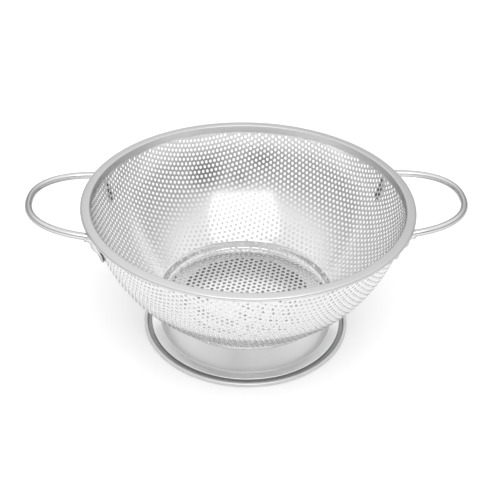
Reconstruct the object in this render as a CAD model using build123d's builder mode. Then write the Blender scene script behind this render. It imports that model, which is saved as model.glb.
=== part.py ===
from build123d import *
from build123d.topology import SkipClean

import bisect
import math
import os

# Perforated steel colander: a pressed bowl of perforated sheet, a folded rim
# band, two fixed wire loop handles and a flared foot ring with a rolled edge.
# Millimetres, +Z up. The origin is the middle of the foot's resting face and
# the two handles lie along X.

# ---- driving dimensions -------------------------------------------------

HEIGHT = 112.0  # resting face to the top of the rim band
RIM_RADIUS = 120.0  # outside of the rim band

# bowl
SHEET = 0.5  # thickness of the perforated sheet
WALL_RADIUS = 115.0  # outside radius of the spherical wall
WALL_CENTRE = 121.7  # height of the centre of that sphere
FLOOR_HEIGHT = 22.0  # underside of the flat floor
FLOOR_RADIUS = 65.0  # where the floor would meet the step if both were sharp
STEP_RADIUS = 67.0  # where the step would meet the wall if both were sharp
STEP_BEND = 2.6  # outside bend radius, floor to step
SHOULDER_BEND = 3.2  # outside bend radius, step to wall
COLLAR_HEIGHT = 105.9  # the wall turns upright here, behind the rim band

# perforation, laid out on the flat blank before it is pressed
HOLE_RADIUS = 1.35  # on the blank and the floor
HOLE_PITCH = 4.57  # between neighbouring holes of the triangular pattern
HOLE_TURN = 16.8  # degrees from X to the nearest row of holes
WALL_STRETCH = 0.966  # length along the wall to length on the blank
HOLE_TOP = 104.2  # no hole is centred above this height

# rim band
BAND_SHEET = 0.4
BAND_INNER_RADIUS = 112.95  # inside of the skirt that hangs in the bowl
BAND_SKIRT_FOOT = 106.0  # height of the skirt's lower edge
BAND_ROLL = 1.5  # outside radius of the folded outer edge
BAND_INNER_BEND = 1.1  # outside radius of the inner top edge

# foot ring
FOOT_SHEET = 0.6
FOOT_TOP_RADIUS = 60.0  # outside of the cone where it turns in under the floor
FOOT_LIP_RADIUS = 50.5  # inner edge of the welded lip
FOOT_CONE_RADIUS = 66.4  # outside of the cone where it turns out to the flange
FLANGE_HEIGHT = 2.8  # top of the flange
FLANGE_RADIUS = 73.8  # outer edge of the flange, where the groove begins
BEAD_RADIUS = 1.5  # rolled bead, outside radius of its section
FOOT_RADIUS = 79.6  # outside of the bead
FOOT_BEND = 1.4  # bend radius of the foot's sheet on its outer side

# handles
WIRE_RADIUS = 2.5
LOOP_REACH = 156.3  # from the axis to the wire's centre at the tip
LOOP_HALF_SPAN = 42.2  # half the distance between the two legs
LOOP_ROOT = 100.0  # the loop's curve starts at this distance from the axis
LOOP_ROOT_HEIGHT = 105.45
LOOP_RISE = 0.09  # upward slope of the loop
LOOP_SQUARENESS = 2.3  # 2 would be an ellipse
LEG_BEND = 5.0  # bend radius of the wire's centre line under the rim
LEG_FOOT = 85.0  # height of the lower end of each flattened leg
PAD_HALF_WIDTH = 4.0
PAD_HALF_DEPTH = 1.25

# ---- derived dimensions -------------------------------------------------

FLOOR_TOP = FLOOR_HEIGHT + SHEET
MID = SHEET / 2


def wall_radius_at(z, sphere_radius=WALL_RADIUS):
    """Distance from the axis to the spherical wall at height z."""
    return math.sqrt(sphere_radius**2 - (z - WALL_CENTRE) ** 2)


def wall_height_at(r, sphere_radius=WALL_RADIUS):
    """Height of the spherical wall at distance r from the axis."""
    return WALL_CENTRE - math.sqrt(sphere_radius**2 - r**2)


# ---- meridian of the bowl ----------------------------------------------
# The bowl is a sheet of constant thickness, so it is described by one curve,
# its middle surface, as a chain of straight and round stretches. Each stretch
# starts with the direction `turn`, the angle between the curve and the
# horizontal, measured upwards while going outwards.

STEP_SHARP = Vector(STEP_RADIUS, 0, wall_height_at(STEP_RADIUS))
FLOOR_SHARP = Vector(FLOOR_RADIUS, 0, FLOOR_HEIGHT)
STEP_TURN = math.atan2(STEP_SHARP.Z - FLOOR_SHARP.Z, STEP_SHARP.X - FLOOR_SHARP.X)

# floor-to-step bend: its centre is above the floor and inside the step
BEND_START = FLOOR_RADIUS - STEP_BEND * math.tan(STEP_TURN / 2)
BEND_CENTRE = (BEND_START, FLOOR_HEIGHT + STEP_BEND)


def shoulder_centre():
    """Centre of the bend that joins the step to the wall on their outer side.

    It lies SHOULDER_BEND outside both the step's line and the wall's sphere.
    """
    step_direction = (math.cos(STEP_TURN), math.sin(STEP_TURN))
    outward = (math.sin(STEP_TURN), -math.cos(STEP_TURN))
    start = (
        FLOOR_SHARP.X + outward[0] * SHOULDER_BEND,
        FLOOR_SHARP.Z + outward[1] * SHOULDER_BEND,
    )
    # walk along the offset line until it is SHOULDER_BEND outside the sphere
    reach = WALL_RADIUS + SHOULDER_BEND
    height = start[1] - WALL_CENTRE
    along = start[0] * step_direction[0] + height * step_direction[1]
    spare = start[0] ** 2 + height**2 - reach**2
    travel = -along - math.sqrt(along**2 - spare)
    return (
        start[0] + step_direction[0] * travel,
        start[1] + step_direction[1] * travel,
    )


SHOULDER_CENTRE = shoulder_centre()
WALL_TURN = math.atan2(SHOULDER_CENTRE[0], WALL_CENTRE - SHOULDER_CENTRE[1])
COLLAR_TURN = math.acos((WALL_CENTRE - COLLAR_HEIGHT) / WALL_RADIUS)


def round_stretch(centre, radius, first, last):
    """A round stretch that curves upwards; a negative radius curves downwards."""
    return {"centre": centre, "radius": radius, "first": first, "last": last}


def meridian():
    """The bowl's middle surface from the floor's edge to the collar."""
    bend = round_stretch(BEND_CENTRE, STEP_BEND - MID, 0.0, STEP_TURN)
    shoulder = round_stretch(
        SHOULDER_CENTRE, -(SHOULDER_BEND + MID), STEP_TURN, WALL_TURN
    )
    wall = round_stretch((0.0, WALL_CENTRE), WALL_RADIUS - MID, WALL_TURN, COLLAR_TURN)
    return [bend, shoulder, wall]


def point_on(stretch, turn):
    """Distance from the axis and height where the stretch has direction turn."""
    r = stretch["centre"][0] + stretch["radius"] * math.sin(turn)
    z = stretch["centre"][1] - stretch["radius"] * math.cos(turn)
    return r, z


WALK_STEP = 0.02


def walk_along(stretch):
    """Small steps (r, z, turn, length so far) along one stretch."""
    length = abs(stretch["radius"] * (stretch["last"] - stretch["first"]))
    steps = math.ceil(length / WALK_STEP)
    for i in range(steps + 1):
        share = i / steps
        turn = stretch["first"] + share * (stretch["last"] - stretch["first"])
        r, z = point_on(stretch, turn)
        yield r, z, turn, share * length


def walk_meridian():
    """Stations (r, z, turn, flat radius) along the middle surface.

    The flat radius is where the place lay on the blank. The floor and the step
    are pressed straight down and keep their distance from the axis. The wall
    is gathered inwards, so its length hardly changes.
    """
    bend, shoulder, wall = meridian()
    stations = [(0.0, FLOOR_HEIGHT + MID, 0.0, 0.0)]
    for stretch in (bend, shoulder):
        stations += [(r, z, turn, r) for r, z, turn, _ in walk_along(stretch)]
    wall_start = stations[-1][3]
    for r, z, turn, length in walk_along(wall):
        stations.append((r, z, turn, wall_start + length / WALL_STRETCH))
    return stations


def lattice():
    """Centres of the triangular pattern on the flat blank."""
    row_gap = HOLE_PITCH * math.sqrt(3) / 2
    reach = int(2 * WALL_RADIUS / row_gap)
    turn = math.radians(HOLE_TURN)
    for row in range(-reach, reach + 1):
        for column in range(-reach, reach + 1):
            x = (column + (row % 2) / 2) * HOLE_PITCH
            y = row * row_gap
            yield (
                x * math.cos(turn) - y * math.sin(turn),
                x * math.sin(turn) + y * math.cos(turn),
            )


def pressed_holes():
    """Place and radius of each hole of the pressed bowl.

    A place is a plane that faces out of the sheet. The holes of the wall are
    smaller, because the sheet round them is gathered.
    """
    stations = walk_meridian()
    flats = [station[3] for station in stations]
    holes = []
    for x, y in lattice():
        flat = math.hypot(x, y)
        if flat >= flats[-1]:
            continue
        after = max(1, bisect.bisect_left(flats, flat))
        low, high = stations[after - 1], stations[after]
        share = (flat - low[3]) / (high[3] - low[3])
        r, z, turn = (low[i] + share * (high[i] - low[i]) for i in range(3))
        if z > HOLE_TOP:
            continue
        around = math.atan2(y, x)
        outward = Vector(math.cos(around), math.sin(around), 0)
        normal = outward * math.sin(turn) - Vector(0, 0, math.cos(turn))
        place = Plane(outward * r + Vector(0, 0, z), z_dir=normal)
        gathered = r / flat if flat > 0 else 1.0
        holes.append((place, HOLE_RADIUS * math.sqrt(gathered)))
    return holes


# ---- bowl ---------------------------------------------------------------


def outer_and_inner(stretch, turn):
    """The two faces of the sheet where a round stretch has direction turn."""
    outer = dict(stretch, radius=stretch["radius"] + MID)
    inner = dict(stretch, radius=stretch["radius"] - MID)
    return point_on(outer, turn), point_on(inner, turn)


COLLAR_TOP = HEIGHT - BAND_INNER_BEND  # the collar ends below the band's bend
SECTORS = 24  # the bowl is perforated in equal sectors, then joined to one sheet
SECTOR_ANGLE = 360 / SECTORS

with BuildPart() as bowl_sector:
    with BuildSketch(Plane.XZ):
        with BuildLine():
            bend, shoulder, wall = meridian()
            outer_side = [(0, FLOOR_HEIGHT), (BEND_START, FLOOR_HEIGHT)]
            inner_side = [(0, FLOOR_TOP), (BEND_START, FLOOR_TOP)]
            Line(outer_side[0], outer_side[1])
            Line(inner_side[0], inner_side[1])
            for stretch in (bend, shoulder, wall):
                middle = (stretch["first"] + stretch["last"]) / 2
                turns = (stretch["first"], middle, stretch["last"])
                faces = [outer_and_inner(stretch, turn) for turn in turns]
                if math.dist(faces[0][0], outer_side[-1]) > WALK_STEP:
                    Line(outer_side[-1], faces[0][0])
                    Line(inner_side[-1], faces[0][1])
                ThreePointArc(*[face[0] for face in faces])
                ThreePointArc(*[face[1] for face in faces])
                outer_side.append(faces[-1][0])
                inner_side.append(faces[-1][1])
            outer_top = (outer_side[-1][0], COLLAR_TOP)
            inner_top = (outer_top[0] - SHEET, COLLAR_TOP)
            Line(outer_side[-1], outer_top)
            Line(outer_top, inner_top)
            Line(inner_top, inner_side[-1])
            Line(inner_side[0], outer_side[0])
        make_face()
    revolve(axis=Axis.Z, revolution_arc=SECTOR_ANGLE)

# Each hole is cut by a small ball centred in the sheet. A ball meets the flat
# floor and the spherical wall in true circles of the hole's radius.
holes = [
    (place, Sphere(math.hypot(radius, MID)).moved(place.location))
    for place, radius in pressed_holes()
]


def reaches_sector(place, middle_angle):
    """Whether a hole touches the sector that lies about the given angle."""
    angle = math.radians(middle_angle)
    half = math.radians(SECTOR_ANGLE / 2)
    forward = place.origin.X * math.cos(angle) + place.origin.Y * math.sin(angle)
    sideways = place.origin.Y * math.cos(angle) - place.origin.X * math.sin(angle)
    outside = abs(sideways) * math.cos(half) - forward * math.sin(half)
    return outside < 1.5 * HOLE_RADIUS


with SkipClean():
    sectors = []
    for index in range(SECTORS):
        blank = bowl_sector.part.rotate(Axis.Z, index * SECTOR_ANGLE)
        middle_angle = (index + 0.5) * SECTOR_ANGLE
        punches = [punch for place, punch in holes if reaches_sector(place, middle_angle)]
        sectors.append(blank.cut(*punches))
    bowl = sectors[0].fuse(*sectors[1:])
bowl.label = "bowl"

# ---- rim band -----------------------------------------------------------
# One strip folded over the top of the bowl: a skirt inside the bowl, a flat
# top, a half-round outer edge and a short return underneath.

ROLL_CENTRE = (RIM_RADIUS - BAND_ROLL, HEIGHT - BAND_ROLL)
INNER_BEND_CENTRE = (BAND_INNER_RADIUS + BAND_INNER_BEND, HEIGHT - BAND_INNER_BEND)
RETURN_RADIUS = outer_top[0] + 0.1  # inner end of the return, just off the bowl


def polar(centre, radius, degrees):
    """The point of a circle at an angle from +X."""
    angle = math.radians(degrees)
    return (
        centre[0] + radius * math.cos(angle),
        centre[1] + radius * math.sin(angle),
    )


def folded_strip(centre, radius, thickness, angles):
    """Both faces of a round fold, through the three given angles."""
    outside = [polar(centre, radius, angle) for angle in angles]
    inside = [polar(centre, radius - thickness, angle) for angle in angles]
    ThreePointArc(*outside)
    ThreePointArc(*inside)
    return outside, inside


with BuildPart() as rim_band:
    with BuildSketch(Plane.XZ):
        with BuildLine():
            lip_out, lip_in = folded_strip(
                INNER_BEND_CENTRE, BAND_INNER_BEND, BAND_SHEET, (180, 135, 90)
            )
            roll_out, roll_in = folded_strip(
                ROLL_CENTRE, BAND_ROLL, BAND_SHEET, (90, 0, -90)
            )
            Polyline(
                lip_out[0],
                (lip_out[0][0], BAND_SKIRT_FOOT),
                (lip_in[0][0], BAND_SKIRT_FOOT),
                lip_in[0],
            )
            Line(lip_out[-1], roll_out[0])
            Line(lip_in[-1], roll_in[0])
            Polyline(
                roll_out[-1],
                (RETURN_RADIUS, roll_out[-1][1]),
                (RETURN_RADIUS, roll_in[-1][1]),
                roll_in[-1],
            )
        make_face()
    revolve(axis=Axis.Z)
rim_band.part.label = "rim_band"

# ---- foot ring ----------------------------------------------------------
# One pressed ring: a lip welded under the bowl's floor, a flared cone, a flat
# flange, a groove and a bead rolled outwards and back over itself.

CONE_TOP = (FOOT_TOP_RADIUS, FLOOR_HEIGHT)
CONE_FOOT = (FOOT_CONE_RADIUS, FLANGE_HEIGHT)
BEAD_CENTRE = (FOOT_RADIUS - BEAD_RADIUS, BEAD_RADIUS)
CURL_END = 230.0  # degrees round the bead; a slit stays open above the groove

with BuildPart() as foot_ring:
    with BuildSketch(Plane.XZ):
        # lip, cone, flange and the groove's inner wall, as one bent strip
        with BuildLine():
            FilletPolyline(
                (FOOT_LIP_RADIUS, FLOOR_HEIGHT),
                CONE_TOP,
                CONE_FOOT,
                (FLANGE_RADIUS, FLANGE_HEIGHT),
                (FLANGE_RADIUS, FOOT_SHEET / 2),
                radius=FOOT_BEND / 2,
            )
            offset(amount=FOOT_SHEET, side=Side.RIGHT)
        make_face()
        # floor of the groove; its underside is the resting face
        with BuildLine():
            Polyline(
                (FLANGE_RADIUS - FOOT_SHEET, 0),
                (BEAD_CENTRE[0], 0),
                (BEAD_CENTRE[0], FOOT_SHEET),
                (FLANGE_RADIUS - FOOT_SHEET, FOOT_SHEET),
                close=True,
            )
        make_face()
        # rolled bead
        with BuildLine():
            middle = (CURL_END - 90.0) / 2
            curl_out, curl_in = folded_strip(
                BEAD_CENTRE, BEAD_RADIUS, FOOT_SHEET, (-90, middle, CURL_END)
            )
            Line(curl_out[0], curl_in[0])
            Line(curl_out[-1], curl_in[-1])
        make_face()
    revolve(axis=Axis.Z)
foot_ring.part.label = "foot_ring"

# ---- handles ------------------------------------------------------------
# Each handle is one wire: a flat loop that rises slightly, two bends under the
# rim and two flattened legs that lie on the wall and are spot-welded to it.

LEG_OFFSET = WALL_RADIUS + WIRE_RADIUS  # sphere that the wire's centre keeps to


def loop_point(angle):
    """Centre of the wire's loop; angle runs from -90 to 90 degrees."""
    c = math.cos(math.radians(angle))
    s = math.sin(math.radians(angle))
    power = 2 / LOOP_SQUARENESS
    x = LOOP_ROOT + (LOOP_REACH - LOOP_ROOT) * abs(c) ** power
    y = LOOP_HALF_SPAN * math.copysign(abs(s) ** power, s)
    return Vector(x, y, LOOP_ROOT_HEIGHT + LOOP_RISE * (x - LOOP_ROOT))


LOOP_END = 83.0  # degrees; beyond it the wire runs straight in to the bend
LOOP_ARC_STEPS = 16
loop_points = [
    loop_point(LOOP_END * (2 * i / LOOP_ARC_STEPS - 1))
    for i in range(LOOP_ARC_STEPS + 1)
]

# the leg's plane: it passes down the wall where the wire comes in
leg_y = loop_points[-1].Y
leg_top_z = LOOP_ROOT_HEIGHT + LOOP_RISE * (
    math.sqrt(LEG_OFFSET**2 - leg_y**2) - LOOP_ROOT
)
leg_top_r = wall_radius_at(leg_top_z, LEG_OFFSET)
leg_azimuth = math.asin(leg_y / leg_top_r)
leg_out = Vector(math.cos(leg_azimuth), math.sin(leg_azimuth), 0)
leg_corner = leg_out * leg_top_r + Vector(0, 0, leg_top_z)
LEG_NECK = 98.5  # height where the round wire starts to flatten
leg_neck = leg_out * wall_radius_at(LEG_NECK, LEG_OFFSET) + Vector(0, 0, LEG_NECK)
down = (leg_neck - leg_corner).normalized()
inward = (leg_corner - loop_points[-1]).normalized()
bend_angle = inward.get_angle(down)
bend_set_back = LEG_BEND * math.tan(math.radians(bend_angle) / 2)
bend_in = leg_corner - inward * bend_set_back
bend_out = leg_corner + down * bend_set_back


def other_leg(point):
    """The same point on the leg at -Y."""
    return Vector(point.X, -point.Y, point.Z)


PAD_SECTIONS = (
    # height, half width and half depth of the leg's oval section
    (LEG_NECK, WIRE_RADIUS, WIRE_RADIUS),
    (LEG_NECK - 3.5, 3.4, 1.75),
    (LEG_NECK - 6.5, PAD_HALF_WIDTH, PAD_HALF_DEPTH),
    (LEG_FOOT + 1.5, PAD_HALF_WIDTH, PAD_HALF_DEPTH),
    (LEG_FOOT, PAD_HALF_WIDTH - 1.2, PAD_HALF_DEPTH - 0.35),
)


def pad_plane(height, half_depth, side):
    """Plane across the leg at a height; side is 1 at +Y and -1 at -Y."""
    out = Vector(leg_out.X, side * leg_out.Y, 0)
    middle = out * wall_radius_at(height, WALL_RADIUS + half_depth)
    along = Vector(down.X, side * down.Y, down.Z)
    across = out.cross(Vector(0, 0, 1))
    return Plane(middle + Vector(0, 0, height), x_dir=across, z_dir=along)


with BuildPart() as handle_right:
    with BuildLine() as wire_path:
        Line(other_leg(leg_neck), other_leg(bend_out))
        TangentArc(
            other_leg(bend_out), other_leg(bend_in), tangent=-other_leg(down)
        )
        Line(other_leg(bend_in), loop_points[0])
        Spline(*loop_points, tangents=[-other_leg(inward), inward])
        Line(loop_points[-1], bend_in)
        TangentArc(bend_in, bend_out, tangent=inward)
        Line(bend_out, leg_neck)
    with BuildSketch(Plane(wire_path.line @ 0, z_dir=wire_path.line % 0)):
        Circle(WIRE_RADIUS)
    sweep()
    for side in (1, -1):
        for height, half_width, half_depth in PAD_SECTIONS:
            with BuildSketch(pad_plane(height, half_depth, side)):
                Ellipse(half_width, half_depth)
        loft(ruled=False)
    # the legs' backs take the shape of the wall
    with Locations((0, 0, WALL_CENTRE)):
        Sphere(WALL_RADIUS, mode=Mode.SUBTRACT)
handle_right.part.label = "handle_right"

handle_left = mirror(handle_right.part, about=Plane.YZ)
handle_left.label = "handle_left"

# ---- export -------------------------------------------------------------

os.makedirs("parts", exist_ok=True)
# the bowl has thousands of hole edges, so its file leaves out their parameter
# curves, which any reader can work out again
export_step(bowl, "parts/bowl.step", write_pcurves=False)
export_step(rim_band.part, "parts/rim_band.step")
export_step(foot_ring.part, "parts/foot_ring.step")
export_step(handle_left, "parts/handle_left.step")
export_step(handle_right.part, "parts/handle_right.step")
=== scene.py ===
import math

import bpy
import numpy as np
from mathutils import Matrix, Vector


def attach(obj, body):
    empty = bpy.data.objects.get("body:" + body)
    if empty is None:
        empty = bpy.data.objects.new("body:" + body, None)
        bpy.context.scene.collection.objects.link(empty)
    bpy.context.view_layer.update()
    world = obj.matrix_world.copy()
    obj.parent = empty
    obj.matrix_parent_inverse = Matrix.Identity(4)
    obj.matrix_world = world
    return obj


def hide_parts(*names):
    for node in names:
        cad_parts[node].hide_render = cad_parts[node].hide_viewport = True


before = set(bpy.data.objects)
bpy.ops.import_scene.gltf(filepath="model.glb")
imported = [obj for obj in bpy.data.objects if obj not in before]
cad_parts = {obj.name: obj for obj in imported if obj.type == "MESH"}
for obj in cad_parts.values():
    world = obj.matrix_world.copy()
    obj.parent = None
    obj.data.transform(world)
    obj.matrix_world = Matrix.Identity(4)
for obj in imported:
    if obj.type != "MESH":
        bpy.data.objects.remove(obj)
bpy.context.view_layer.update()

# Looks of a perforated steel colander. Lengths below are millimetres and turn
# into metres when a mesh is made. Z is up and the handles lie along X.
MM = 0.001

# ---- sizes, the same as the CAD's ---------------------------------------

HEIGHT = 112.0
RIM_RADIUS = 120.0

SHEET = 0.5
WALL_RADIUS = 115.0
WALL_CENTRE = 121.7
FLOOR_HEIGHT = 22.0
FLOOR_RADIUS = 65.0
STEP_RADIUS = 67.0
STEP_BEND = 2.6
SHOULDER_BEND = 3.2
COLLAR_HEIGHT = 105.9
HOLE_RADIUS = 1.35
HOLE_PITCH = 4.57
HOLE_TURN = math.radians(16.8)
WALL_STRETCH = 0.966
HOLE_TOP = 104.2

BAND_SHEET = 0.4
BAND_INNER_RADIUS = 112.95
BAND_SKIRT_FOOT = 106.0
BAND_ROLL = 1.5
BAND_INNER_BEND = 1.1
BAND_CORNER = 0.12
BAND_RETURN_GAP = 0.1

FOOT_SHEET = 0.6
FOOT_TOP_RADIUS = 60.0
FOOT_LIP_RADIUS = 50.5
FOOT_CONE_RADIUS = 66.4
FLANGE_HEIGHT = 2.8
FLANGE_RADIUS = 73.8
BEAD_RADIUS = 1.5
FOOT_RADIUS = 79.6
FOOT_BEND = 0.7
CURL_END = 230.0

WIRE_RADIUS = 2.5
LOOP_REACH = 156.3
LOOP_HALF_SPAN = 42.2
LOOP_ROOT = 100.0
LOOP_ROOT_HEIGHT = 105.45
LOOP_RISE = 0.09
LOOP_SQUARENESS = 2.3
LOOP_END = 83.0
LEG_BEND = 5.0
LEG_NECK = 98.5
LEG_FOOT = 85.0
PAD_HALF_WIDTH = 4.0
PAD_HALF_DEPTH = 1.25
WELD_GAP = 0.02

MID = SHEET / 2
COLLAR_TOP = HEIGHT - BAND_INNER_BEND

# fineness of the meshes
LATHE_SEGMENTS = 288
COARSE_HOLE_SIDES = 7
FINE_EDGE_PARTS = 3
FINE_RINGS = (0.70, 0.35, 0.0)
FINE_BELOW_BEND = 2.0
FINE_ABOVE_WALL = 2.5
THINNEST_SLIVER = 0.4
WALK_STEP = 0.02
HARD_CORNER = math.radians(35.0)
LOOP_STEPS = 72
LEG_BEND_STEPS = 10
WIRE_SIDES = 28


# ---- meridian of the bowl -----------------------------------------------


def meridian():
    """Round stretches of the bowl's middle surface: centre, radius, turns.

    Turn is the slope of the surface going outwards. A negative radius bends
    the sheet downwards.
    """
    step_z = WALL_CENTRE - math.sqrt(WALL_RADIUS**2 - STEP_RADIUS**2)
    step_turn = math.atan2(step_z - FLOOR_HEIGHT, STEP_RADIUS - FLOOR_RADIUS)
    bend_start = FLOOR_RADIUS - STEP_BEND * math.tan(step_turn / 2)
    c, s = math.cos(step_turn), math.sin(step_turn)
    x = FLOOR_RADIUS + s * SHOULDER_BEND
    z = FLOOR_HEIGHT - c * SHOULDER_BEND
    h = z - WALL_CENTRE
    along = x * c + h * s
    reach = WALL_RADIUS + SHOULDER_BEND
    travel = -along - math.sqrt(along**2 - (x**2 + h**2 - reach**2))
    shoulder = (x + c * travel, z + s * travel)
    wall_turn = math.atan2(shoulder[0], WALL_CENTRE - shoulder[1])
    collar_turn = math.acos((WALL_CENTRE - COLLAR_HEIGHT) / WALL_RADIUS)
    return [
        ((bend_start, FLOOR_HEIGHT + STEP_BEND), STEP_BEND - MID, 0.0, step_turn),
        (shoulder, -(SHOULDER_BEND + MID), step_turn, wall_turn),
        ((0.0, WALL_CENTRE), WALL_RADIUS - MID, wall_turn, collar_turn),
    ]


def walk_along(centre, radius, first, last):
    """Small steps (r, z, turn, length so far) along a round stretch."""
    length = abs(radius * (last - first))
    steps = max(2, math.ceil(length / WALK_STEP))
    for i in range(steps + 1):
        share = i / steps
        turn = first + (last - first) * share
        r = centre[0] + radius * math.sin(turn)
        z = centre[1] - radius * math.cos(turn)
        yield r, z, turn, share * length


def stations():
    """Rows of r, z, turn, flat radius and length along the middle surface.

    The flat radius is where the place lay on the blank. The floor and the step
    are pressed straight down; the wall is gathered inwards and keeps its length.
    """
    bend, shoulder, wall = meridian()
    rows = [(0.0, FLOOR_HEIGHT + MID, 0.0, 0.0)]
    for stretch in (bend, shoulder):
        rows += [(r, z, turn, r) for r, z, turn, _ in walk_along(*stretch)]
    start = rows[-1][3]
    for r, z, turn, length in walk_along(*wall):
        rows.append((r, z, turn, start + length / WALL_STRETCH))
    # the collar stands upright up to the fold of the rim band
    r, z, turn, flat = rows[-1]
    for height in (WALK_STEP, COLLAR_TOP - z):
        rows.append((r, z + height, math.pi / 2, flat + height / WALL_STRETCH))
    table = np.array(rows)
    steps = np.hypot(np.diff(table[:, 0]), np.diff(table[:, 1]))
    return np.column_stack([table, np.concatenate([[0.0], np.cumsum(steps)])])


STATIONS = stations()
FLATS = STATIONS[:, 3]
LENGTHS = STATIONS[:, 4]
FLAT_TOP = FLATS[-1]
FLAT_HOLE_TOP = float(np.interp(HOLE_TOP, STATIONS[:, 1], FLATS))
FLAT_BEND = meridian()[0][0][0]
FLAT_WALL = meridian()[2][1] * math.sin(meridian()[2][2])


def press(flat_points):
    """Outer point, inner point and outward normal for points of the blank."""
    flat_points = np.asarray(flat_points, float)
    flat = np.hypot(flat_points[:, 0], flat_points[:, 1])
    around = np.arctan2(flat_points[:, 1], flat_points[:, 0])
    r, z, turn = (np.interp(flat, FLATS, STATIONS[:, i]) for i in range(3))
    out = np.stack([np.cos(around), np.sin(around), 0 * around], 1)
    up = np.array([0.0, 0.0, 1.0])
    normal = out * np.sin(turn)[:, None] - up * np.cos(turn)[:, None]
    middle = out * r[:, None] + up * z[:, None]
    return middle + normal * MID, middle - normal * MID, normal


def hole_ring(centre, radius, directions):
    """Places on the blank round a hole that has the radius once pressed.

    On the wall the hole is squeezed round the bowl as the sheet is gathered.
    """
    flat = math.hypot(*centre)
    if flat < FLAT_BEND - 2 * radius:
        x, y = centre
        return [(x + radius * math.cos(a), y + radius * math.sin(a)) for a in directions]
    azimuth = math.atan2(centre[1], centre[0])
    length = float(np.interp(flat, FLATS, LENGTHS))
    along = radius * (WALL_STRETCH if flat > FLAT_WALL else 1.0)
    places = []
    for a in directions:
        here = float(np.interp(length + along * math.cos(a - azimuth), LENGTHS, FLATS))
        angle = azimuth + radius / flat * math.sin(a - azimuth)
        places.append((here * math.cos(angle), here * math.sin(angle)))
    return places


# ---- mesh helpers -------------------------------------------------------


def mesh_object(name, points, faces, normals=None, material=None):
    """A mesh object from points in millimetres, with normals per corner."""
    mesh = bpy.data.meshes.new(name)
    mesh.from_pydata([tuple(p) for p in np.asarray(points) * MM], [], faces)
    mesh.validate()
    mesh.polygons.foreach_set("use_smooth", [True] * len(mesh.polygons))
    if normals is not None:
        mesh.normals_split_custom_set([tuple(n) for n in normals])
    mesh.update()
    obj = bpy.data.objects.new(name, mesh)
    bpy.context.scene.collection.objects.link(obj)
    if material:
        mesh.materials.append(material)
    return obj


def arc(centre, radius, start, end, count):
    """Points of an arc; angles in degrees from +X."""
    rows = []
    for i in range(count + 1):
        a = math.radians(start + (end - start) * i / count)
        rows.append((centre[0] + radius * math.cos(a), centre[1] + radius * math.sin(a)))
    return rows


def lathe(name, outline, material):
    """Turns a closed outline of (r, z) points about Z.

    The outline runs anticlockwise seen with r to the right and z up. Corners
    that turn by more than HARD_CORNER get a hard edge, others are smooth.
    """
    befores = [outline[-1]] + outline[:-1]
    outline = [p for before, p in zip(befores, outline) if math.dist(p, before) > 1e-6]
    count = len(outline)
    edge_normals = []
    for i in range(count):
        dr = outline[(i + 1) % count][0] - outline[i][0]
        dz = outline[(i + 1) % count][1] - outline[i][1]
        length = math.hypot(dr, dz)
        edge_normals.append((dz / length, -dr / length))

    def corner_normal(point, edge):
        other = edge_normals[point - 1] if edge == point else edge_normals[point]
        own = edge_normals[edge]
        if own[0] * other[0] + own[1] * other[1] < math.cos(HARD_CORNER):
            return own
        both = (own[0] + other[0], own[1] + other[1])
        length = math.hypot(*both)
        return (both[0] / length, both[1] / length)

    turns = [2 * math.pi * j / LATHE_SEGMENTS for j in range(LATHE_SEGMENTS)]
    points = [(r * math.cos(a), r * math.sin(a), z) for a in turns for r, z in outline]
    faces, normals = [], []
    for j in range(LATHE_SEGMENTS):
        k = (j + 1) % LATHE_SEGMENTS
        for i in range(count):
            n = (i + 1) % count
            faces.append((j * count + i, k * count + i, k * count + n, j * count + n))
            here, there = corner_normal(i, i), corner_normal(n, i)
            for turn, (nr, nz) in ((j, here), (k, here), (k, there), (j, there)):
                a = turns[turn]
                normals.append((nr * math.cos(a), nr * math.sin(a), nz))
    return mesh_object(name, points, faces, normals, material)


# ---- bowl ---------------------------------------------------------------


def hexagon_corner(q, r, k):
    """Whole-number coordinates of corner k of the cell at (q, r).

    The corners of a triangular pattern's cells are themselves triangle
    centres, so each has whole coordinates in thirds of the pattern.
    """
    thirds = ((1, 1), (-1, 2), (-2, 1), (-1, -1), (1, -2), (2, -1))
    return (3 * q + thirds[k][0], 3 * r + thirds[k][1])


def lattice_place(a, b):
    """Flat place of pattern coordinates a and b, in pitches."""
    x = (a + b / 2) * HOLE_PITCH
    y = b * HOLE_PITCH * math.sqrt(3) / 2
    c, s = math.cos(HOLE_TURN), math.sin(HOLE_TURN)
    return (x * c - y * s, x * s + y * c)


def between(near, far, share):
    """The flat place that lies a share of the way from near to far."""
    return tuple(near[i] * (1 - share) + far[i] * share for i in (0, 1))


def even_area(radius, sides):
    """Corner radius of a straight-sided hole with the round hole's area."""
    step = 2 * math.pi / sides
    return radius * math.sqrt(step / math.sin(step))


def cell_rings(centre, corners, fine):
    """Rings of places inside a cell, the last of them the hole's edge.

    The hole of a fine cell has a place for each place of the cell's sides,
    and rings between the two; that of a coarse cell stands alone.
    """
    if not fine:
        turns = range(COARSE_HOLE_SIDES)
        directions = [HOLE_TURN + 2 * math.pi * (i + 0.5) / COARSE_HOLE_SIDES for i in turns]
        return [hole_ring(centre, even_area(HOLE_RADIUS, COARSE_HOLE_SIDES), directions)]
    spots = [
        between(corners[k], corners[(k + 1) % 6], share)
        for k in range(6)
        for share in np.arange(FINE_EDGE_PARTS) / FINE_EDGE_PARTS
    ]
    directions = [math.atan2(y - centre[1], x - centre[0]) for x, y in spots]
    hole = hole_ring(centre, even_area(HOLE_RADIUS, len(spots)), directions)
    return [[between(*pair, blend) for pair in zip(hole, spots)] for blend in FINE_RINGS]


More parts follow.
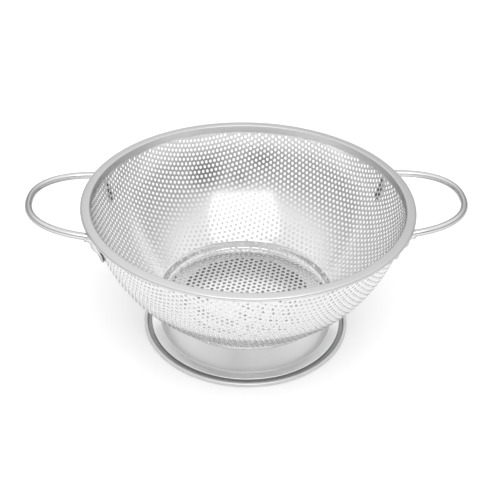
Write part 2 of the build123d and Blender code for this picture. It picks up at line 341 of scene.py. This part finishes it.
def zip_rings(outer, inner, centre, places):
    """Triangles between two rings of vertex numbers around a centre."""

    def turn_of(v):
        p = places[v]
        return math.atan2(p[1] - centre[1], p[0] - centre[0]) % (2 * math.pi)

    def from_lowest(ring):
        start = min(range(len(ring)), key=lambda i: turn_of(ring[i]))
        ring = ring[start:] + ring[:start]
        turns = [turn_of(v) for v in ring]
        return ring + [ring[0]], turns + [turns[0] + 2 * math.pi]

    outer, outer_turns = from_lowest(outer)
    inner, inner_turns = from_lowest(inner)
    faces, i, j = [], 0, 0
    while i < len(outer) - 1 or j < len(inner) - 1:
        move_outer = j == len(inner) - 1 or (
            i < len(outer) - 1 and outer_turns[i + 1] <= inner_turns[j + 1]
        )
        if move_outer:
            faces.append((inner[j], outer[i], outer[i + 1]))
            i += 1
        else:
            faces.append((inner[j], outer[i], inner[j + 1]))
            j += 1
    return faces


def build_bowl(material):
    """The pressed bowl, one cell of sheet round each hole of the pattern."""
    places = []
    numbers = {}
    edge_uses = {}
    sheet_faces = []
    hole_rings = []

    def is_fine(place):
        """Whether a place is on the step, where the sheet bends sharply."""
        flat = math.hypot(*place)
        return FLAT_BEND - FINE_BELOW_BEND < flat < FLAT_WALL + FINE_ABOVE_WALL

    def numbered(key, place):
        """Number of the vertex with this key, held inside the blank's edge."""
        if key not in numbers:
            flat = math.hypot(*place)
            shrink = min(1.0, FLAT_TOP / flat) if flat else 1.0
            numbers[key] = len(places)
            places.append((place[0] * shrink, place[1] * shrink))
        return numbers[key]

    def cell_edge(keys, corners, k):
        """Vertices along one side of a cell, without the last."""
        n = (k + 1) % 6
        row = [numbered(keys[k], corners[k])]
        middle = tuple((corners[k][i] + corners[n][i]) / 2 for i in (0, 1))
        if is_fine(middle):
            low, high = sorted((keys[k], keys[n]))
            for i in range(1, FINE_EDGE_PARTS):
                share = i / FINE_EDGE_PARTS
                spot = between(corners[k], corners[n], share)
                rank = i if keys[k] == low else FINE_EDGE_PARTS - i
                row.append(numbered((low, high, rank), spot))
        return row

    # rows and columns slant by 60 degrees, so they reach further than the blank
    reach = int(1.3 * FLAT_TOP / HOLE_PITCH)
    for r in range(-reach, reach + 1):
        for q in range(-reach, reach + 1):
            centre = lattice_place(q, r)
            keys = [hexagon_corner(q, r, k) for k in range(6)]
            corners = [lattice_place(a / 3, b / 3) for a, b in keys]
            if min(math.hypot(*p) for p in corners) > FLAT_TOP - THINNEST_SLIVER:
                continue
            ring = [v for k in range(6) for v in cell_edge(keys, corners, k)]
            for i in range(len(ring)):
                edge = (ring[i], ring[(i + 1) % len(ring)])
                ends = frozenset(edge)
                edge_uses[ends] = None if ends in edge_uses else edge
            if math.hypot(*centre) > FLAT_HOLE_TOP:
                sheet_faces.append(tuple(ring))
                continue
            rings = [ring]
            for row in cell_rings(centre, corners, is_fine(centre)):
                start = len(places)
                places += row
                rings.append(list(range(start, len(places))))
            for outer, inner in zip(rings, rings[1:]):
                sheet_faces += zip_rings(outer, inner, centre, places)
            hole_rings.append(rings[-1])

    outer, inner, normal = press(places)
    count = len(places)
    points = np.concatenate([outer, inner])
    faces, normals = [], []
    for face in sheet_faces:
        # the blank seen from above shows the bowl's inner side
        faces.append(tuple(v + count for v in face))
        normals += [tuple(-normal[v]) for v in face]
        faces.append(tuple(reversed(face)))
        normals += [tuple(normal[v]) for v in reversed(face)]
    for ring in hole_rings:
        middles = (outer[ring] + inner[ring]) / 2
        heart = middles.mean(0)
        for i in range(len(ring)):
            a, b = ring[i], ring[(i + 1) % len(ring)]
            faces.append((b, a, a + count, b + count))
            to_heart = []
            for m in (middles[i], middles[(i + 1) % len(ring)]):
                n = heart - m
                to_heart.append(tuple(n / np.linalg.norm(n)))
            normals += [to_heart[1], to_heart[0], to_heart[0], to_heart[1]]
    # a side that only one cell uses is the blank's edge
    for edge in edge_uses.values():
        if edge is None:
            continue
        a, b = edge
        faces.append((a, b, b + count, a + count))
        normals += [(0.0, 0.0, 1.0)] * 4
    return mesh_object("bowl_perforated", points, faces, normals, material)


# ---- rim band and foot ring ---------------------------------------------


def build_rim_band(material):
    """A strip folded over the bowl's edge, open underneath."""
    roll = (RIM_RADIUS - BAND_ROLL, HEIGHT - BAND_ROLL)
    lip = (BAND_INNER_RADIUS + BAND_INNER_BEND, HEIGHT - BAND_INNER_BEND)
    return_radius = STATIONS[-1, 0] + MID + BAND_RETURN_GAP
    outline = []
    outline.append((BAND_INNER_RADIUS, BAND_SKIRT_FOOT + BAND_CORNER))
    outline.append((BAND_INNER_RADIUS + BAND_CORNER, BAND_SKIRT_FOOT))
    outline.append((BAND_INNER_RADIUS + BAND_SHEET, BAND_SKIRT_FOOT))
    outline += arc(lip, BAND_INNER_BEND - BAND_SHEET, 180, 90, 6)
    outline += arc(roll, BAND_ROLL - BAND_SHEET, 90, -90, 12)
    outline.append((return_radius, roll[1] - BAND_ROLL + BAND_SHEET))
    outline.append((return_radius, roll[1] - BAND_ROLL))
    outline += arc(roll, BAND_ROLL, -90, 90, 24)
    outline += arc(lip, BAND_INNER_BEND, 90, 180, 12)
    return lathe("rim_band_folded", outline, material)


def rounded(points, radius, count=6):
    """A polyline whose inner corners are replaced by arcs of the radius."""
    rows = [points[0]]
    for before, corner, after in zip(points, points[1:], points[2:]):
        a = Vector((before[0] - corner[0], before[1] - corner[1])).normalized()
        b = Vector((after[0] - corner[0], after[1] - corner[1])).normalized()
        half = a.angle(b) / 2
        back = radius / math.tan(half)
        centre = Vector(corner) + (a + b).normalized() * (radius / math.sin(half))
        first = Vector(corner) + a * back - centre
        last = Vector(corner) + b * back - centre
        turn = first.angle_signed(last)
        for i in range(count + 1):
            spot = first.copy()
            spot.rotate(Matrix.Rotation(-turn * i / count, 2))
            rows.append(tuple(centre + spot))
    rows.append(points[-1])
    return rows


def offset_line(points, amount):
    """The polyline moved sideways by the amount, to the right of its way."""
    rows = []
    for i, p in enumerate(points):
        before = Vector(points[max(i - 1, 0)])
        after = Vector(points[min(i + 1, len(points) - 1)])
        way = (after - before).normalized()
        rows.append((p[0] + way.y * amount, p[1] - way.x * amount))
    return rows


def build_foot_ring(material):
    """Lip, cone, flange, groove and rolled bead, pressed from one sheet."""
    spine = rounded(
        [
            (FOOT_LIP_RADIUS, FLOOR_HEIGHT),
            (FOOT_TOP_RADIUS, FLOOR_HEIGHT),
            (FOOT_CONE_RADIUS, FLANGE_HEIGHT),
            (FLANGE_RADIUS, FLANGE_HEIGHT),
            (FLANGE_RADIUS, FOOT_SHEET),
        ],
        FOOT_BEND,
    )
    bead = (FOOT_RADIUS - BEAD_RADIUS, BEAD_RADIUS)
    outline = list(spine)
    # the groove's floor, then the curl's inside, its slit and its outside
    outline += arc(bead, BEAD_RADIUS - FOOT_SHEET, -90, CURL_END, 24)
    outline += arc(bead, BEAD_RADIUS, CURL_END, -90, 32)
    under = offset_line(spine, FOOT_SHEET)
    under = [p for p in under if p[1] > 0.02]
    outline.append((FLANGE_RADIUS - FOOT_SHEET, 0.0))
    outline += reversed(under[:-1])
    outline.reverse()
    return lathe("foot_ring_pressed", outline, material)


# ---- handles ------------------------------------------------------------


def loop_point(degrees):
    """A point of the loop's centre line, a rounded square; 0 is its far end."""
    c, s = math.cos(math.radians(degrees)), math.sin(math.radians(degrees))
    power = 2 / LOOP_SQUARENESS
    x = LOOP_ROOT + (LOOP_REACH - LOOP_ROOT) * abs(c) ** power
    y = LOOP_HALF_SPAN * math.copysign(abs(s) ** power, s)
    return Vector((x, y, LOOP_ROOT_HEIGHT + LOOP_RISE * (x - LOOP_ROOT)))


def wall_radius_at(z, sphere_radius):
    """Distance from the axis of a sphere round the wall's centre, at height z."""
    return math.sqrt(sphere_radius**2 - (z - WALL_CENTRE) ** 2)


def leg_stations():
    """Half of the handle below the loop: centre, width axis, half sizes.

    It runs from the loop's end at +Y, round the bend under the rim and down
    the wall, where the wire is flattened.
    """
    start = loop_point(LOOP_END)
    offset = WALL_RADIUS + WIRE_RADIUS
    rise_length = math.sqrt(offset**2 - start.y**2) - LOOP_ROOT
    top_z = LOOP_ROOT_HEIGHT + LOOP_RISE * rise_length
    top_r = wall_radius_at(top_z, offset)
    azimuth = math.asin(start.y / top_r)
    out = Vector((math.cos(azimuth), math.sin(azimuth), 0.0))
    across = Vector((-math.sin(azimuth), math.cos(azimuth), 0.0))
    corner = out * top_r + Vector((0, 0, top_z))
    neck = out * wall_radius_at(LEG_NECK, offset) + Vector((0, 0, LEG_NECK))
    inward = (corner - start).normalized()
    down = (neck - corner).normalized()
    half = inward.angle(down) / 2
    back = LEG_BEND * math.tan(half)
    side = Vector((0.0, 1.0, 0.0))
    rows = []
    bend_in, bend_out = corner - inward * back, corner + down * back
    for i in range(3):
        rows.append((start.lerp(bend_in, i / 3), side, WIRE_RADIUS, WIRE_RADIUS))
    centre = corner + (down - inward).normalized() * (LEG_BEND / math.cos(half))
    axis = (bend_in - centre).cross(bend_out - centre).normalized()
    for i in range(LEG_BEND_STEPS + 1):
        spot = (bend_in - centre).copy()
        spot.rotate(Matrix.Rotation(2 * half * i / LEG_BEND_STEPS, 3, axis))
        way = side.lerp(across, i / LEG_BEND_STEPS)
        rows.append((centre + spot, way, WIRE_RADIUS, WIRE_RADIUS))
    sections = (
        # height, half width, half depth
        (LEG_NECK, WIRE_RADIUS, WIRE_RADIUS),
        (LEG_NECK - 1.2, 2.65, 2.35),
        (LEG_NECK - 3.5, 3.4, 1.75),
        (LEG_NECK - 5.3, 3.85, 1.38),
        (LEG_NECK - 6.5, PAD_HALF_WIDTH, PAD_HALF_DEPTH),
        (LEG_FOOT + 5.0, PAD_HALF_WIDTH, PAD_HALF_DEPTH),
        (LEG_FOOT + 2.6, PAD_HALF_WIDTH, PAD_HALF_DEPTH),
        (LEG_FOOT + 1.2, PAD_HALF_WIDTH - 0.4, PAD_HALF_DEPTH - 0.06),
        (LEG_FOOT + 0.4, PAD_HALF_WIDTH - 1.2, PAD_HALF_DEPTH - 0.25),
        (LEG_FOOT, PAD_HALF_WIDTH - 2.4, PAD_HALF_DEPTH - 0.6),
    )
    for z, width, depth in sections:
        middle = out * wall_radius_at(z, WALL_RADIUS + depth) + Vector((0, 0, z))
        rows.append((middle, across, width, depth))
    return rows


def build_handle(name, sign, material):
    """One wire handle; sign is 1 at +X and -1 at -X."""
    leg = leg_stations()
    back_radius = WALL_RADIUS + WELD_GAP
    loop = []
    for i in range(LOOP_STEPS + 1):
        degrees = LOOP_END * (1 - 2 * i / LOOP_STEPS)
        loop.append((loop_point(degrees), None, WIRE_RADIUS, WIRE_RADIUS))
    mirrored = [
        (Vector((c.x, -c.y, c.z)), Vector((-w.x, w.y, 0.0)) if w else None, a, b)
        for c, w, a, b in leg
    ]
    rows = list(reversed(leg)) + loop[1:-1] + mirrored
    points, rings = [], len(rows)
    for i, (centre, width_axis, half_width, half_depth) in enumerate(rows):
        before, after = rows[max(i - 1, 0)][0], rows[min(i + 1, rings - 1)][0]
        way = (after - before).normalized()
        if width_axis is None:
            width_axis = way.cross(Vector((0, 0, 1)))
        width_axis = (width_axis - way * width_axis.dot(way)).normalized()
        if i and width_axis.dot(previous) < 0:
            width_axis = -width_axis
        previous = width_axis
        depth_axis = way.cross(width_axis)
        for k in range(WIRE_SIDES):
            a = 2 * math.pi * k / WIRE_SIDES
            p = centre + width_axis * half_width * math.cos(a)
            p = p + depth_axis * half_depth * math.sin(a)
            # the flattened legs take the wall's shape at their backs
            from_centre = p - Vector((0, 0, WALL_CENTRE))
            if from_centre.length < back_radius:
                p = Vector((0, 0, WALL_CENTRE)) + from_centre.normalized() * back_radius
            points.append((sign * p.x, p.y, p.z))
    faces = []
    for i in range(rings - 1):
        for k in range(WIRE_SIDES):
            n = (k + 1) % WIRE_SIDES
            a, b = i * WIRE_SIDES, (i + 1) * WIRE_SIDES
            faces.append((a + k, b + k, b + n, a + n))
    for end, ring in ((0, 0), (1, (rings - 1) * WIRE_SIDES)):
        middle = np.mean(points[ring : ring + WIRE_SIDES], 0)
        points.append(tuple(middle))
        for k in range(WIRE_SIDES):
            n = (k + 1) % WIRE_SIDES
            face = (ring + k, ring + n, len(points) - 1)
            faces.append(face if end == 0 else face[::-1])
    if sign > 0:
        faces = [face[::-1] for face in faces]
    return mesh_object(name, points, faces, None, material)


# ---- materials ----------------------------------------------------------

# how much the grain is drawn out, round the axis and along the wire
RING_GRAIN_STRETCH = 0.004
ALONG_GRAIN_STRETCH = 0.03
# noise scales per metre, and what the noises do to the tone and the relief
CLOUD_SCALE = 38.0
SPECK_SCALE = 900.0
TONE_SWING = 0.05
SPECK_SHARE = 0.35
RELIEF_DEPTH = 0.00002
# painted shade on the wire where it lies against the bowl's wall: its tone and roughness there
WALL_SHADE_TONE = 0.06
WALL_SHADE_ROUGHNESS = 0.6


class Nodes:
    """Small helper for writing node trees."""

    def __init__(self, tree):
        self.tree = tree

    def add(self, kind, inputs=None, **settings):
        node = self.tree.nodes.new(kind)
        for key, value in settings.items():
            setattr(node, key, value)
        for key, value in (inputs or {}).items():
            if hasattr(value, "is_linked"):
                self.tree.links.new(value, node.inputs[key])
            else:
                node.inputs[key].default_value = value
        return node

    def math(self, operation, a, b=0.0):
        node = self.add("ShaderNodeMath", {0: a, 1: b}, operation=operation)
        return node.outputs[0]

    def mix(self, share, a, b):
        node = self.add("ShaderNodeMix", {0: share, 2: a, 3: b}, data_type="FLOAT")
        return node.outputs[0]

    def noise(self, vector, scale, detail=2.0, roughness=0.5):
        node = self.add(
            "ShaderNodeTexNoise",
            {"Vector": vector, "Scale": scale, "Detail": detail, "Roughness": roughness},
        )
        return node.outputs[0]


def steel(name, tone, roughness, spread, bump, grain, grain_axis, zones=(), edge=0.0, painted_wall_shade=0.0):
    """Steel with fine grain, uneven sheen and faint marks.

    grain_axis is "ring" for lines round Z or "along" for lines along X.
    A zone is a ring with its own painted tone and its own roughness: inner and outer radius
    and top in metres, tone, roughness.
    edge is a painted shade: how much darker the piece is painted where it turns away from the eye.
    painted_wall_shade is how far from the bowl's wall, in millimetres, a painted shade darkens the
    piece and makes it rougher.
    """
    material = bpy.data.materials.new(name)
    material.use_nodes = True
    material.node_tree.nodes.clear()
    t = Nodes(material.node_tree)
    place = t.add("ShaderNodeTexCoord").outputs["Object"]
    x, y, z = t.add("ShaderNodeSeparateXYZ", {0: place}).outputs
    radius = t.math("SQRT", t.math("ADD", t.math("MULTIPLY", x, x), t.math("MULTIPLY", y, y)))
    if grain_axis == "ring":
        around = t.math("MULTIPLY", t.math("ARCTAN2", y, x), RING_GRAIN_STRETCH)
        lines = t.add("ShaderNodeCombineXYZ", {0: around, 1: radius, 2: z})
    else:
        along = t.math("MULTIPLY", x, ALONG_GRAIN_STRETCH)
        lines = t.add("ShaderNodeCombineXYZ", {0: along, 1: y, 2: z})
    fine = t.noise(lines.outputs[0], grain, 3.0)
    coarse = t.noise(place, CLOUD_SCALE, 3.0)
    specks = t.noise(place, SPECK_SCALE, 2.0)
    fine_swing = t.math("SUBTRACT", fine, 0.5)
    coarse_swing = t.math("SUBTRACT", coarse, 0.5)
    tone_here = t.math("ADD", t.math("MULTIPLY", coarse_swing, TONE_SWING), tone)
    tone_here = t.math("ADD", tone_here, t.math("MULTIPLY", fine_swing, TONE_SWING))
    rough = t.math("ADD", roughness, t.math("MULTIPLY", coarse_swing, spread))
    rough = t.math("ADD", rough, t.math("MULTIPLY", fine_swing, spread))
    # zones set painted tones, light on the flange and shade in the groove, and their own roughness
    for inner, outer, top, zone_tone, zone_rough in zones:
        past_inner = t.math("GREATER_THAN", radius, inner)
        before_outer = t.math("LESS_THAN", radius, outer)
        in_ring = t.math("MULTIPLY", past_inner, before_outer)
        in_zone = t.math("MULTIPLY", in_ring, t.math("LESS_THAN", z, top))
        tone_here = t.mix(in_zone, tone_here, zone_tone)
        rough = t.mix(in_zone, rough, zone_rough)
    # painted shade: the tone darkens where the surface turns away from the eye
    if edge:
        facing = t.add("ShaderNodeLayerWeight", {"Blend": 0.5}).outputs["Facing"]
        shaded = t.math("MULTIPLY", facing, edge)
        tone_here = t.math("MULTIPLY", tone_here, t.math("SUBTRACT", 1.0, shaded))
    # painted shade where the wire lies against the bowl's wall: darker and rougher
    if painted_wall_shade:
        height = t.math("SUBTRACT", z, WALL_CENTRE * MM)
        radius_square = t.math("MULTIPLY", radius, radius)
        height_square = t.math("MULTIPLY", height, height)
        from_centre = t.math("SQRT", t.math("ADD", radius_square, height_square))
        wall_shade_mask = t.math("LESS_THAN", from_centre, (WALL_RADIUS + painted_wall_shade) * MM)
        tone_here = t.mix(wall_shade_mask, tone_here, WALL_SHADE_TONE)
        rough = t.mix(wall_shade_mask, rough, WALL_SHADE_ROUGHNESS)
    colour = t.add("ShaderNodeCombineColor", {0: tone_here, 1: tone_here, 2: tone_here})
    height = t.math("ADD", fine, t.math("MULTIPLY", specks, SPECK_SHARE))
    shape = {"Strength": bump, "Distance": RELIEF_DEPTH, "Height": height}
    relief = t.add("ShaderNodeBump", shape)
    shader = t.add(
        "ShaderNodeBsdfPrincipled",
        {
            "Base Color": colour.outputs[0],
            "Metallic": 1.0,
            "Roughness": rough,
            "Normal": relief.outputs[0],
        },
    )
    t.add("ShaderNodeOutputMaterial", {0: shader.outputs[0]})
    return material


# ---- the object ---------------------------------------------------------


def zone(inner, outer, top, tone, roughness):
    """A ring of a piece with its own painted tone and its own roughness; sizes in millimetres."""
    return (inner * MM, outer * MM, top * MM, tone, roughness)


# the flange gets painted light, a tone brighter than the cone's, and a smoother polish
FLANGE_PAINTED_LIGHT_ZONE = zone(
    inner=FOOT_CONE_RADIUS + 0.2,
    outer=FLANGE_RADIUS,
    top=FLANGE_HEIGHT + 0.1,
    tone=1.0,
    roughness=0.28,
)
# painted shade in the groove beyond the flange: a darker tone, with a duller, rougher finish
GROOVE_PAINTED_SHADE_ZONE = zone(
    inner=FLANGE_RADIUS - 0.25,
    outer=FOOT_RADIUS - 2 * BEAD_RADIUS + 0.35,
    top=FLANGE_HEIGHT - 0.2,
    tone=0.55,
    roughness=0.6,
)

sheet_steel = steel("perforated_sheet", 0.75, 0.18, 0.06, 0.08, 2600.0, "ring")
# edge below is a painted shade where the band, foot and wire turn away from the eye
band_steel = steel("satin_band", 0.76, 0.31, 0.05, 0.10, 4200.0, "ring", edge=0.5)
foot_steel = steel(
    "pressed_foot", 0.79, 0.36, 0.05, 0.12, 3200.0, "ring", zones=(FLANGE_PAINTED_LIGHT_ZONE, GROOVE_PAINTED_SHADE_ZONE), edge=0.2
)
# the wire also gets a painted shade where it lies against the bowl's wall
wire_steel = steel("polished_wire", 0.84, 0.18, 0.06, 0.10, 3600.0, "along", edge=0.95, painted_wall_shade=0.4)

bowl = build_bowl(sheet_steel)
rim = build_rim_band(band_steel)
foot = build_foot_ring(foot_steel)
handle_left = build_handle("handle_left_wire", -1, wire_steel)
handle_right = build_handle("handle_right_wire", 1, wire_steel)

for piece, node, slot in (
    (bowl, "bowl", "perforated_sheet"),
    (rim, "rim_band", "satin_band"),
    (foot, "foot_ring", "pressed_foot"),
    (handle_left, "handle_left", "polished_wire"),
    (handle_right, "handle_right", "polished_wire"),
):
    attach(piece, "root")
    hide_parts(node)


# ---- stage, light and camera --------------------------------------------

# the floor in metres: middle of its painted shadow behind the bowl, where the shadow fades out,
# and the tones inside and outside it
PAINTED_SHADOW_MIDDLE = (0.0, 0.14, 0.0)
PAINTED_SHADOW_FADE = (0.04, 0.12)
SHADOW_AND_FLOOR_TONES = (0.74, 0.93)
FLOOR_DROP = 0.0001
FLOOR_HALF_SIZE = 20000.0


def build_stage():
    """A plain pale floor that runs out of the picture, with a painted shadow behind the bowl."""
    material = bpy.data.materials.new("stage_floor")
    material.use_nodes = True
    material.node_tree.nodes.clear()
    t = Nodes(material.node_tree)
    place = t.add("ShaderNodeTexCoord").outputs["Object"]
    # painted shadow: the floor's tone drops towards a middle behind the bowl
    away = t.add("ShaderNodeVectorMath", {0: place, 1: PAINTED_SHADOW_MIDDLE}, operation="DISTANCE")
    limits = {
        "Value": away.outputs["Value"],
        "From Min": PAINTED_SHADOW_FADE[0],
        "From Max": PAINTED_SHADOW_FADE[1],
        "To Min": SHADOW_AND_FLOOR_TONES[0],
        "To Max": SHADOW_AND_FLOOR_TONES[1],
    }
    tone = t.add("ShaderNodeMapRange", limits, interpolation_type="SMOOTHSTEP").outputs[0]
    colour = t.add("ShaderNodeCombineColor", {0: tone, 1: tone, 2: tone})
    shader = t.add(
        "ShaderNodeBsdfPrincipled",
        {"Base Color": colour.outputs[0], "Roughness": 0.55, "Specular IOR Level": 0.2},
    )
    t.add("ShaderNodeOutputMaterial", {0: shader.outputs[0]})
    size = FLOOR_HALF_SIZE
    corners = [(-size, -size, 0), (size, -size, 0), (size, size, 0), (-size, size, 0)]
    floor = mesh_object("stage_floor", corners, [(0, 1, 2, 3)], None, material)
    floor.location.z = -FLOOR_DROP


# ramps of the room's brightness: two heights or depths of the view direction,
# and the levels there; from front to back, up the ceiling, and its middle
ROOM_RAMP = (-0.9, 0.7, 0.50, 0.66)
CEILING_RAMP = (0.35, 0.78, 0.0, 0.56)
OVERHEAD_RAMP = (0.88, 0.98, 0.0, -0.28)

# soft shapes of the room: azimuth from -Y to +X, elevation, reach, brightness
ROOM_SHAPES = (
    (math.radians(32.0), math.radians(17.0), math.radians(16.0), -0.26),
    (math.radians(-13.0), math.radians(4.0), math.radians(15.0), -0.30),
    (math.radians(5.0), math.radians(26.0), math.radians(9.0), -0.20),
    (math.radians(180.0), math.radians(31.0), math.radians(13.0), 0.40),
)


def build_world():
    """A grey room, brighter behind, whose pale ceiling is dimmer in its middle."""
    world = bpy.data.worlds.new("studio")
    bpy.context.scene.world = world
    world.use_nodes = True
    world.node_tree.nodes.clear()
    t = Nodes(world.node_tree)
    way = t.add("ShaderNodeTexCoord").outputs["Generated"]
    x, y, z = t.add("ShaderNodeSeparateXYZ", {0: way}).outputs

    def ramp(value, low, high, from_level, to_level):
        node = t.add(
            "ShaderNodeMapRange",
            {
                "Value": value,
                "From Min": low,
                "From Max": high,
                "To Min": from_level,
                "To Max": to_level,
            },
            interpolation_type="SMOOTHSTEP",
        )
        return node.outputs[0]

    room = ramp(y, *ROOM_RAMP)
    ceiling = ramp(z, *CEILING_RAMP)
    overhead = ramp(z, *OVERHEAD_RAMP)
    level = t.math("ADD", t.math("ADD", room, ceiling), overhead)
    for azimuth, elevation, spread, brightness in ROOM_SHAPES:
        middle = (
            math.sin(azimuth) * math.cos(elevation),
            -math.cos(azimuth) * math.cos(elevation),
            math.sin(elevation),
        )
        nearness = t.add("ShaderNodeVectorMath", {0: way, 1: middle}, operation="DOT_PRODUCT")
        shape = ramp(nearness.outputs["Value"], math.cos(spread), 1.0, 0.0, brightness)
        level = t.math("ADD", level, shape)
    sky = t.add("ShaderNodeBackground", {"Color": (1, 1, 1, 1), "Strength": level})
    t.add("ShaderNodeOutputWorld", {0: sky.outputs[0]})


# lamps, in metres and watts: a softbox above the front, and a wide sun
SOFTBOX_PLACE = (0.03, -0.62, 1.05)
SOFTBOX_TARGET = (0, 0, 0.05)
SOFTBOX_SIZE = (1.05, 0.80)
SOFTBOX_POWER = 2.5
FILL_STRENGTH = 1.15
FILL_SPREAD = math.radians(60.0)
FILL_TILT = math.radians(33.0)


def build_softbox(name, place, target, size, power):
    """A rectangular lamp that faces the target."""
    lamp = bpy.data.lights.new(name, "AREA")
    lamp.shape = "RECTANGLE"
    lamp.size, lamp.size_y = size
    lamp.energy = power
    obj = bpy.data.objects.new(name, lamp)
    obj.location = place
    obj.rotation_euler = (Vector(target) - Vector(place)).to_track_quat("-Z", "Y").to_euler()
    bpy.context.scene.collection.objects.link(obj)


def build_fill(name, strength, spread, tilt):
    """A sun that brightens the floor; the steel does not mirror it."""
    lamp = bpy.data.lights.new(name, "SUN")
    lamp.energy = strength
    lamp.angle = spread
    obj = bpy.data.objects.new(name, lamp)
    obj.rotation_euler = (tilt, 0.0, 0.0)
    obj.visible_glossy = False
    bpy.context.scene.collection.objects.link(obj)


# the camera stands a little to the left of the line square to the handles;
# lengths in metres, angles in radians
CAMERA_TURN = math.radians(-3.75)
CAMERA_DISTANCE = 0.5430
CAMERA_HEIGHT = 0.4414
CAMERA_YAW = 0.0036
CAMERA_PITCH = 0.6058
CAMERA_ROLL = 0.0283
FOCAL_PER_WIDTH = 880.0 / 500.0
SENSOR = 36.0


def build_camera():
    data = bpy.data.cameras.new("camera")
    data.sensor_width = SENSOR
    data.lens = SENSOR * FOCAL_PER_WIDTH
    data.clip_start, data.clip_end = 0.01, 50.0
    camera = bpy.data.objects.new("camera", data)
    forward = Vector(
        (
            math.sin(CAMERA_YAW) * math.cos(CAMERA_PITCH),
            math.cos(CAMERA_YAW) * math.cos(CAMERA_PITCH),
            -math.sin(CAMERA_PITCH),
        )
    )
    right = forward.cross(Vector((0, 0, 1))).normalized()
    up = right.cross(forward)
    c, s = math.cos(CAMERA_ROLL), math.sin(CAMERA_ROLL)
    rolled_right = right * c + up * s
    rolled_up = up * c - right * s
    basis = Matrix((rolled_right, rolled_up, -forward)).transposed().to_4x4()
    basis.translation = Vector((0, -CAMERA_DISTANCE, CAMERA_HEIGHT))
    camera.matrix_world = Matrix.Rotation(CAMERA_TURN, 4, "Z") @ basis
    bpy.context.scene.collection.objects.link(camera)
    bpy.context.scene.camera = camera


build_stage()
build_world()
build_softbox("softbox_front", SOFTBOX_PLACE, SOFTBOX_TARGET, SOFTBOX_SIZE, SOFTBOX_POWER)
build_fill("floor_fill", FILL_STRENGTH, FILL_SPREAD, FILL_TILT)
build_camera()
bpy.context.scene.view_settings.view_transform = "Standard"
bpy.context.scene.view_settings.look = "None"
